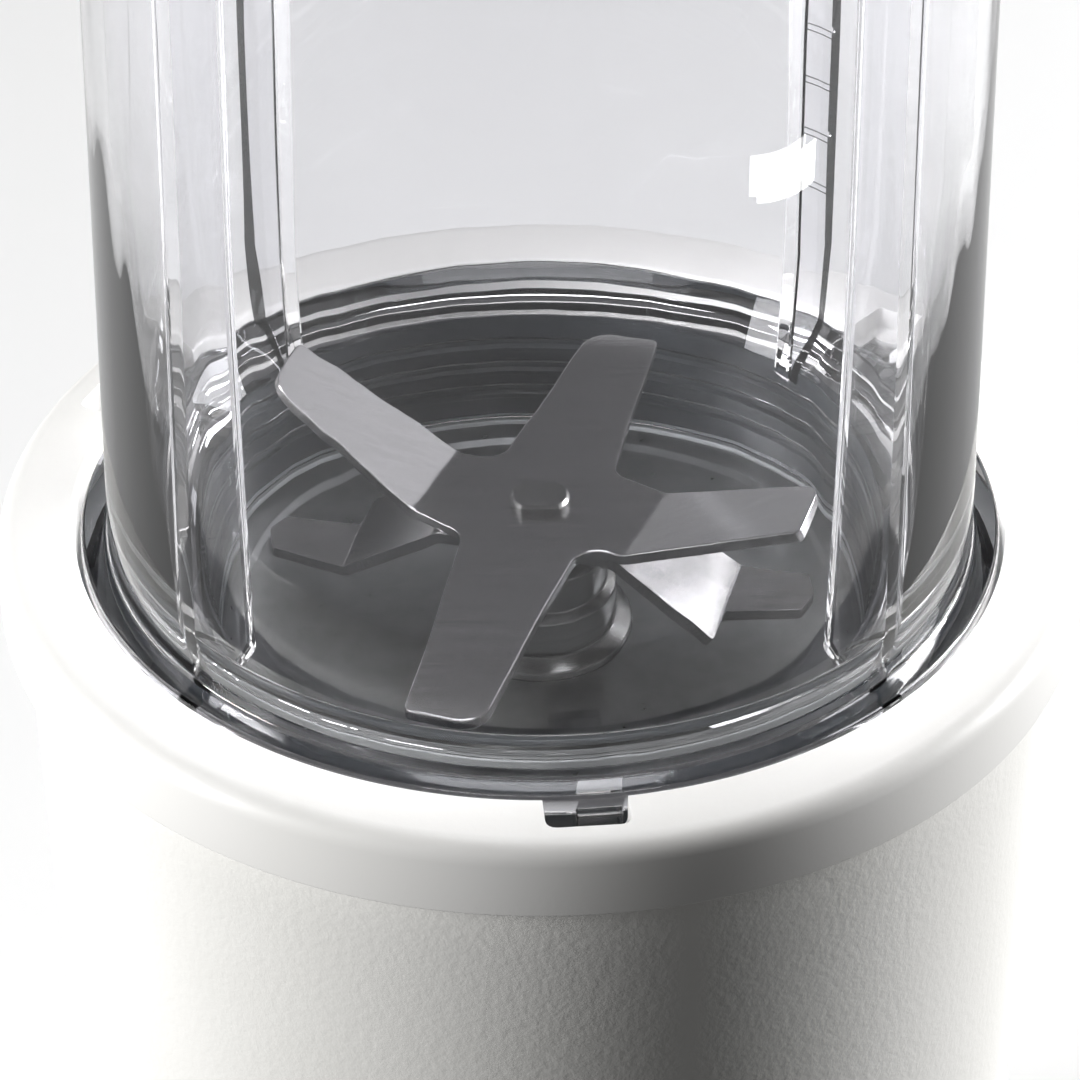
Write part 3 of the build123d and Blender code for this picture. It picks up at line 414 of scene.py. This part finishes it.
# %% Materials on CAD nodes
put_on(turned_steel, "spindle", "blade_washer", "motor_shaft")
put_on(plated_steel, "collar_screws", "cover_screws", "motor_through_bolts", "bracket_screws",
       "upper_bearing", "lower_bearing", "spindle_bearing_upper", "spindle_bearing_lower",
       "spindle_clip", "brush_springs", "plunger_spring_front", "plunger_spring_right",
       "plunger_spring_left")
put_on(zinc_casting, "motor_top_bracket", "motor_bottom_bracket")
put_on(lamination, "stator_core", "armature_core")
put_on(winding, "field_coils", "armature_windings")
put_on(copper_bar, "commutator")
put_on(carbon, "carbon_brushes")
put_on(rubber, "rubber_feet", "cord_gland", "motor_dampers", "shaft_seal", "spindle_seal")
put_on(black_nylon, "brush_holders", "microswitches", "capacitor", "drive_coupler",
       "driven_coupler", "inner_chassis", "thermal_fuse")
put_on(cream_nylon, "cooling_fan", "terminal_block")
put_on(cover_pp, "bottom_cover", "air_duct")
put_on(collar_abs, "plunger_front", "plunger_right", "plunger_left")
put_on(silicone, "blade_gasket")

# %% [markdown]
# ## Camera
# The camera looks down at the collar from the front, close enough to see into the cup.  A long
# lens keeps the round parts from stretching.

# %% Camera
CAMERA_PITCH = math.radians(35.3)
CAMERA_DISTANCE = 0.520
camera_data = bpy.data.cameras.new("camera")
camera_data.lens = 150.6
camera_data.sensor_width = 36.0
camera_data.shift_y = -0.0327
camera_data.clip_start = 0.01
camera = bpy.data.objects.new("camera", camera_data)
camera.location = (0, -CAMERA_DISTANCE * math.cos(CAMERA_PITCH),
                   rim_z + CAMERA_DISTANCE * math.sin(CAMERA_PITCH))
camera.rotation_euler = (math.pi / 2 - CAMERA_PITCH, 0, 0)
bpy.context.scene.collection.objects.link(camera)
bpy.context.scene.camera = camera
print("camera", round(math.degrees(CAMERA_PITCH), 1), "degrees down,", CAMERA_DISTANCE, "m away")

# %% [markdown]
# ## The housing
# The sleeve of the base flares gently towards the counter.  Its side is drawn as a smooth curve
# through six heights, and a wall of 2.4 mm follows it inside.  The step at the top leaves the
# thin dark gap under the collar.  The seat of the cord gland is cut at the back.

# %% Base shell
COUNTER = -rim_z / MM
SHELL_WALL = 2.4
SHELL_SIDE = [(66.5, 9.0), (63.3, 27.0), (60.0, 55.0), (58.3, 90.0), (58.9, 125.0), (59.5, 148.0)]


def smooth_line(points, steps=6):
    """Points on a curve that passes through all the given points."""
    ends = [points[0]] + points + [points[-1]]
    made = []
    for a, b, c, d in zip(ends, ends[1:], ends[2:], ends[3:]):
        a, b, c, d = [Vector(p) for p in (a, b, c, d)]
        for step in range(steps):
            t = step / steps
            made.append(tuple(b + (c - a) * t / 2 + (a - b * 2.5 + c * 2 - d / 2) * t ** 2
                              + (b * 3 - a - c * 3 + d) * t ** 3 / 2))
    return made + [tuple(points[-1])]


side = smooth_line(SHELL_SIDE)
outer = [(r, COUNTER + z) for r, z in side]
inner = [(r - SHELL_WALL, COUNTER + z) for r, z in side]
sleeve = outer + [(59.6, -9.9, 0.3), (58.4, -9.9), (58.4, -9.1), (57.2, -9.1)] + inner[::-1]
sleeve += [(64.1, COUNTER + 3.5), (64.9, COUNTER + 3.5), (66.2, COUNTER + 5.1, 1.0)]
shell = lathe("shell_sleeve", sleeve, steps=192)

gland_low, gland_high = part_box("cord_gland")
gland_z = (gland_low.z + gland_high.z) / 2
only()
bpy.ops.mesh.primitive_cylinder_add(vertices=64, radius=8.0 * MM, depth=10 * MM,
                                    location=(0, 67.9 * MM, gland_z),
                                    rotation=(math.pi / 2, 0, 0))
seat = bpy.context.active_object
bpy.ops.object.transform_apply(location=True, rotation=True)
combine(shell, seat)
only()
bpy.ops.mesh.primitive_cylinder_add(vertices=64, radius=6.05 * MM, depth=20 * MM,
                                    location=(0, 61 * MM, gland_z),
                                    rotation=(math.pi / 2, 0, 0))
hole = bpy.context.active_object
bpy.ops.object.transform_apply(location=True, rotation=True)
combine(shell, hole)
install(shell, "motor_base", "shell_white", shell_abs, "base_shell")

# %% [markdown]
# ## The collar
# A white ring that carries the bayonet.  Its outer edge has a soft rounding of 2.4 mm, which
# draws the broad highlight round the top.  Three notches let the cup's tabs drop in, and a
# channel under the lip beside each notch takes the tab as the cup turns.

# %% Collar
NOTCHES = [-84.9, 35.1, 155.1]
collar = lathe("bayonet_collar", [(53.4, -9.6), (53.4, 0, 0.8), (62.3, 0, 2.4), (62.3, -9.1, 0.4),
                                  (57.1, -9.1), (57.1, -9.6)], steps=192)
HALF_NOTCH = math.degrees(4.6 / 53.4)
channels = [ring_part("channel", 52.0, 57.1, -11.0, -4.5, angle + HALF_NOTCH - 16.65, 33.3)
            for angle in NOTCHES]
combine(collar, joined("channels", channels))
notch = slab("notch", [(50.0, -4.6), (58.4, -4.6), (58.4, 1.0), (50.0, 1.0)], 9.2)
soften(notch, 1.2, segments=4)
combine(collar, around(notch, NOTCHES))
soften(collar, 0.15, segments=2, above=50)
install(collar, "motor_base", "collar_white", collar_abs, "collar_ring")

# %% [markdown]
# ## The well
# Below the collar the base has a grey well that catches spills and holds the blade unit.  Its
# flange is cut away where the three switch plungers come up through it.

# %% Well liner
PLUNGER_OFFSET = -10.6  # degrees from a notch to the middle of the plunger beside it
liner = lathe("well_lining", [(51.2, -9.6), (57.0, -9.6), (57.0, -12.0), (53.0, -12.0),
                              (53.0, -43.5, 2.0), (8.0, -43.5), (8.0, -39.5), (14.5, -39.5, 0.6),
                              (16.0, -41.0, 0.6), (47.2, -41.0, 2.0), (51.2, -37.0, 2.0)])
gaps = [ring_part("gap", 53.3, 58.1, -13.0, 0.0, angle + PLUNGER_OFFSET, 30.0)
        for angle in NOTCHES]
combine(liner, joined("gaps", gaps))
install(liner, "motor_base", "liner_grey", liner_abs, "well_liner")

# %% [markdown]
# ## The blade unit
# The cup is screwed into a dark polished holder.  The holder is a turned shape with grip ribs
# outside and stiffening webs below.  The female thread on the inside of its wall is a small
# ridge that climbs 4 mm in each turn, made with the Screw modifier, and shows through the cup
# as bright arcs one above the other.

# %% Blade holder
holder = lathe("blade_holder", [(46.6, -3.8), (47.0, -3.4, 0.3), (50.0, -3.4, 0.5), (50.0, -34),
                                (47.4, -34), (47.4, -25), (10.6, -25), (10.6, -22),
                                (46.6, -22, 0.8)], steps=192)
grip = slab("grip", [(49.4, -33), (50.8, -33, 0.4), (50.8, -11, 0.6), (49.4, -10)], 2.4)
web = slab("web", [(16.5, -30), (47.5, -30), (47.5, -24.8), (16.5, -24.8)], 2.0)
holder = joined("blade_holder", [holder, around(grip, range(0, 360, 10)),
                                 around(web, range(0, 360, 60))])


def screw_thread(name, corners, pitch, turns):
    """A helical ridge of the given section."""
    piece = draw(name, [(x * MM, 0, rim_z + y * MM) for x, y in corners])
    only(piece)
    modifier = piece.modifiers.new("thread", "SCREW")
    modifier.angle = math.tau
    modifier.screw_offset = pitch * MM
    modifier.iterations = turns
    modifier.steps = 120
    modifier.render_steps = 120
    bpy.ops.object.modifier_apply(modifier="thread")
    bpy.ops.object.mode_set(mode="EDIT")
    bpy.ops.mesh.select_all(action="SELECT")
    bpy.ops.mesh.fill_holes(sides=0)
    return close_up(piece)


ridge = screw_thread("holder_thread", [(46.9, -18.9), (45.7, -18.0), (45.7, -17.4), (46.9, -16.5)],
                     4.0, 3)
holder = joined("blade_holder", [holder, ridge])
install(holder, "cup_unit", "base_dark", dark_abs, "blade_base")

# %% Dish and spindle housing
dish = lathe("pressed_dish", [(11.7, -22.0), (43.0, -22.0), (43.0, -20.6, 0.3), (39.5, -20.6, 0.8),
                              (38.6, -21.2, 0.8), (11.7, -21.2)])
install(dish, "cup_unit", "blade_steel", pressed_steel, "blade_dish")
housing = lathe("bearing_housing", [(6.5, -26.2), (10.5, -26.2), (10.5, -22.0), (11.6, -22.0),
                                    (11.6, -20.2, 0.4), (9.4, -19.4, 0.4), (9.4, -14.1, 0.5),
                                    (8.1, -13.4, 0.4), (8.1, -8.3, 0.4), (6.5, -8.2)], steps=96)
install(housing, "cup_unit", "steel", turned_steel, "spindle_housing")

# %% [markdown]
# ## The cup
# The cup is one closed wall: the outside, the crown, the inside and the neck below the flange.
# It is drawn round its whole section, because clear plastic needs a true thickness to bend
# light.  Four ribs stand on the inside to stir the food back to the blades, three tabs hang
# below the flange, and the neck carries the male thread.  All of them are added by an exact
# union, so that no hidden wall is left inside the clear plastic.

# %% Cup wall
CUP_HEIGHT = 140.0
cup = lathe("clear_cup", [(49.65, -0.6, 0.5), (48.9, 60), (48.06, CUP_HEIGHT, 10.0), (0, CUP_HEIGHT),
                          (0, CUP_HEIGHT - 2.6), (45.46, CUP_HEIGHT - 2.6, 7.4), (46.3, 60),
                          (47.05, 4.0, 1.0), (43.0, -2.5, 1.0), (43.0, -20.2, 0.4),
                          (45.5, -20.2, 0.4), (45.5, -3.2), (52.8, -3.2, 0.5), (52.8, -0.6, 0.6)],
            steps=192)

# %% Ribs, tabs, thread and measuring marks
RIB_ANGLES = [-142.5, -37.5, 42.5, 137.5]
TAB_OFFSET = 1.9  # degrees past the notch, where a tab comes to rest
MARKED_ANGLE = 47.5
CUP_LOW_R = 49.65
CUP_TAPER = 0.0122  # how much the radius shrinks per millimetre of height
rib = slab("rib", [(43.6, -5.5), (41.0, -2.5), (39.6, 137.9), (44.0, 137.9), (46.1, 130.0),
                   (47.65, 4.0), (43.6, -2.0)], 3.0)
soften(rib, 0.5)
ribs = around(rib, RIB_ANGLES)
tab = slab("tab", [(50.3, -3.0), (50.3, -9.3), (56.7, -9.3), (56.7, -5.2), (53.1, -5.2),
                   (53.1, -3.0)], 5.0)
soften(tab, 0.3)
tabs = around(tab, [angle + TAB_OFFSET for angle in NOTCHES])
neck_thread = screw_thread("neck_thread", [(45.2, -17.4), (46.3, -16.4), (46.3, -16.0),
                                           (45.2, -15.2)], 4.0, 3)
marks = []
for step in range(14):
    height = 22.0 + step * 7.0
    side_r = CUP_LOW_R - (height + 0.6) * CUP_TAPER
    length = 7.0 if step % 2 == 0 else 4.0
    mark = slab("mark", [(side_r - 0.3, height), (side_r + 0.3, height + 0.1),
                         (side_r + 0.3, height + 0.8), (side_r - 0.3, height + 0.9)], length)
    mark.data.transform(Matrix.Rotation(math.radians(MARKED_ANGLE), 4, "Z"))
    marks.append(mark)
print("ribs", len(RIB_ANGLES), "tabs", len(NOTCHES), "measuring marks", len(marks))
combine(cup, joined("cup_details", [ribs, tabs, neck_thread] + marks), "UNION")
cup.visible_shadow = False
install(cup, "cup_unit", "cup_clear", clear_cup, "cup")

# %% [markdown]
# ## The blades
# Both blades are pressed from 1.5 mm stainless strip.  Each is drawn flat, as the blank leaves
# the punch, with rounded corners.  The bends are made as a press makes them: the sheet is cut
# across by a few parallel lines, and everything beyond each line is turned by a small part of
# the angle, from the tip inwards.  Solidify then gives the thickness.  The blank lies with the
# arms that are bent along X, and the finished blade is turned to its heading.

# %% Blade blanks
BLADE_T = 1.5
BEND_STEPS = 6  # each bend is made in this many small turns


def blank(name, corners, height):
    """A flat sheet from a closed outline of corners, at a height above the collar's top."""
    points = [(x * MM, y * MM, rim_z + height * MM) for x, y in rounded(corners, steps=5)]
    piece = draw(name, points)
    bpy.ops.mesh.edge_face_add()
    bpy.ops.mesh.normals_make_consistent(inside=False)
    only(piece)
    if piece.data.polygons[0].normal.z < 0:
        bpy.ops.object.mode_set(mode="EDIT")
        bpy.ops.mesh.flip_normals()
        only(piece)
    return piece


def bend(piece, side, bends, height):
    """Bend one end of a blank: bends are (distance from the middle, degrees up, radius)."""
    lines = []
    for along, degrees, radius in bends:
        reach = radius * math.radians(abs(degrees))
        lines += [(along + reach * (step + 0.5) / BEND_STEPS - reach / 2, degrees / BEND_STEPS)
                  for step in range(BEND_STEPS)]
    bpy.context.tool_settings.mesh_select_mode = (True, False, False)
    for line, degrees in lines:
        only(piece)
        bpy.ops.object.mode_set(mode="EDIT")
        bpy.ops.mesh.select_all(action="SELECT")
        bpy.ops.mesh.bisect(plane_co=(side * line * MM, 0, 0), plane_no=(1, 0, 0))
    for line, degrees in sorted(lines, reverse=True):
        only(piece)
        for corner in piece.data.vertices:
            corner.select = side * corner.co.x > (line + 0.001) * MM
        bpy.ops.object.mode_set(mode="EDIT")
        bpy.ops.transform.rotate(value=side * math.radians(degrees), orient_axis="Y",
                                 center_override=(side * line * MM, 0, rim_z + height * MM))
    only(piece)


def thicken(piece, heading):
    """Give a bent blank its thickness and small edge breaks, and turn it to its heading."""
    modifier = piece.modifiers.new("strip", "SOLIDIFY")
    modifier.thickness = BLADE_T * MM
    modifier.offset = 1.0
    bpy.ops.object.modifier_apply(modifier="strip")
    soften(piece, 0.18, segments=2, above=50)
    bpy.ops.object.shade_smooth_by_angle(angle=math.radians(14))
    piece.data.transform(Matrix.Rotation(math.radians(heading), 4, "Z"))


def opposite(corners):
    """Half of an outline followed by the same half turned round."""
    return corners + [(-corner[0], -corner[1]) + tuple(corner[2:]) for corner in corners]


# %% Upper blade
UPPER_LOW = -3.5
upper = blank("upper_cutter", opposite([
    (7.83, -5.8, 3.2), (37.6, -5.7, 0.8), (37.0, 3.8, 3.2), (5.45, 9.2, 2.6),
    (-1.65, 39.5, 1.0), (-10.6, 38.4, 3.4),
]), UPPER_LOW)
for side_sign in (1, -1):
    bend(upper, side_sign, [(13.4, 26.6, 5.0)], UPPER_LOW)
thicken(upper, 155.5)
install(upper, "blade_spindle", "blade_steel", blade_steel, "upper_blade")
print("upper blade box", [round(v / MM, 1) for v in upper.dimensions])

# %% Lower blade
LOWER_LOW = -5.0
lower = blank("lower_cutter", opposite([
    (10.0, -7.2, 1.0), (25.5, -8.3, 0.8), (26.4, -2.8, 1.0), (36.0, -0.8, 0.8), (37.4, 2.4, 0.8),
    (36.0, 5.8, 1.0), (26.0, 6.3, 1.0), (11.1, 7.3, 1.0), (0.0, 7.0),
]), LOWER_LOW)
for side_sign in (1, -1):
    bend(lower, side_sign, [(10.5, -36.4, 2.5), (26.02, 39.0, 2.5)], LOWER_LOW)
thicken(lower, 165.5)
install(lower, "blade_spindle", "blade_steel", blade_steel, "lower_blade")
print("lower blade box", [round(v / MM, 1) for v in lower.dimensions])

# %% [markdown]
# ## Floor and light
# The blender stands on a plain pale surface.  Two large softboxes stand low to the left and to
# the right, so the white housing is bright at its sides and falls to shade in front.  A weak one
# overhead lights the collar's top, and a small one high on the right lights the bent blade arms.
# A little card close to the cup gives the square highlight in its wall.  The room is dim, which
# gives the flat steel something grey to mirror, and only its lower part glows, behind and beside
# the object, as a white table would.  The floor itself is left out of mirrors and bounced light,
# because it would fill the shade in front.

# %% Floor
only()
bpy.ops.mesh.primitive_plane_add(size=12.0)
floor = bpy.context.active_object
floor.name = "floor"
floor_paint, tree, shader = start_material("matt_pale_board", "#f0f0f0", 0.9)
shader.inputs["Emission Color"].default_value = linear("#ffffff")
shader.inputs["Emission Strength"].default_value = 0.05
floor.data.materials.append(floor_paint)
floor.visible_diffuse = False
floor.visible_glossy = False


# %% Lights
def softbox(name, azimuth, elevation, distance, size_x, size_y, power):
    """A rectangular light aimed at the collar from a direction in degrees."""
    light = bpy.data.lights.new(name, "AREA")
    light.shape = "RECTANGLE"
    light.size = size_x
    light.size_y = size_y
    light.energy = power
    lamp = bpy.data.objects.new(name, light)
    around_z, up = math.radians(azimuth), math.radians(elevation)
    offset = Vector((math.cos(around_z) * math.cos(up), math.sin(around_z) * math.cos(up),
                     math.sin(up)))
    lamp.location = Vector((0, 0, rim_z)) + offset * distance
    lamp.rotation_euler = offset.to_track_quat("Z", "Y").to_euler()
    bpy.context.scene.collection.objects.link(lamp)


softbox("left_softbox", -166, 9, 1.3, 0.45, 0.6, 24)
softbox("right_softbox", 21, 10, 1.2, 0.5, 0.6, 22)
softbox("overhead_softbox", 90, 82, 1.4, 0.6, 0.5, 4.4)
softbox("blade_softbox", 47, 38, 1.3, 0.55, 0.5, 0.9)
softbox("window_card", -32, -14.5, 0.33, 0.085, 0.011, 0.04)
print("lights", len(bpy.data.lights))

# %% Dim room with a glow below
TABLE_GLOW = 0.7
SIDE_SHARE = 0.5  # how far the glow reaches round to the sides
world = bpy.data.worlds.new("dim_studio")
world.use_nodes = True
tree = world.node_tree
direction = add_node(tree, "ShaderNodeTexCoord").outputs["Generated"]
split = add_node(tree, "ShaderNodeSeparateXYZ", {"Vector": direction})
depth = add_node(tree, "ShaderNodeMapRange", {"Value": split.outputs["Y"]}, From_Min=-0.4,
                 From_Max=0.8)
ramp = add_node(tree, "ShaderNodeValToRGB", {"Fac": depth.outputs["Result"]})
ramp.color_ramp.elements[0].color = (0.015, 0.015, 0.015, 1)
ramp.color_ramp.elements[1].color = (0.1, 0.1, 0.104, 1)
below = add_node(tree, "ShaderNodeMapRange", {"Value": split.outputs["Z"]}, From_Min=0.35,
                 From_Max=-0.15)
aside = add_node(tree, "ShaderNodeMath", operation="ABSOLUTE")
tree.links.new(split.outputs["X"], aside.inputs[0])
off_front = add_node(tree, "ShaderNodeMath", operation="MULTIPLY_ADD")
tree.links.new(aside.outputs["Value"], off_front.inputs[0])
off_front.inputs[1].default_value = SIDE_SHARE
tree.links.new(split.outputs["Y"], off_front.inputs[2])
behind = add_node(tree, "ShaderNodeMapRange", {"Value": off_front.outputs["Value"]},
                  From_Min=0.15, From_Max=0.6, To_Min=0.05)
table = add_node(tree, "ShaderNodeMath", operation="MULTIPLY")
tree.links.new(below.outputs["Result"], table.inputs[0])
tree.links.new(behind.outputs["Result"], table.inputs[1])
glow = add_node(tree, "ShaderNodeMath", operation="MULTIPLY")
tree.links.new(table.outputs["Value"], glow.inputs[0])
glow.inputs[1].default_value = TABLE_GLOW
total = add_node(tree, "ShaderNodeVectorMath", operation="ADD")
tree.links.new(ramp.outputs["Color"], total.inputs[0])
tree.links.new(glow.outputs["Value"], total.inputs[1])
tree.links.new(total.outputs["Vector"], tree.nodes["Background"].inputs["Color"])
bpy.context.scene.world = world
bpy.context.scene.view_settings.view_transform = "Standard"
print("world", world.name)
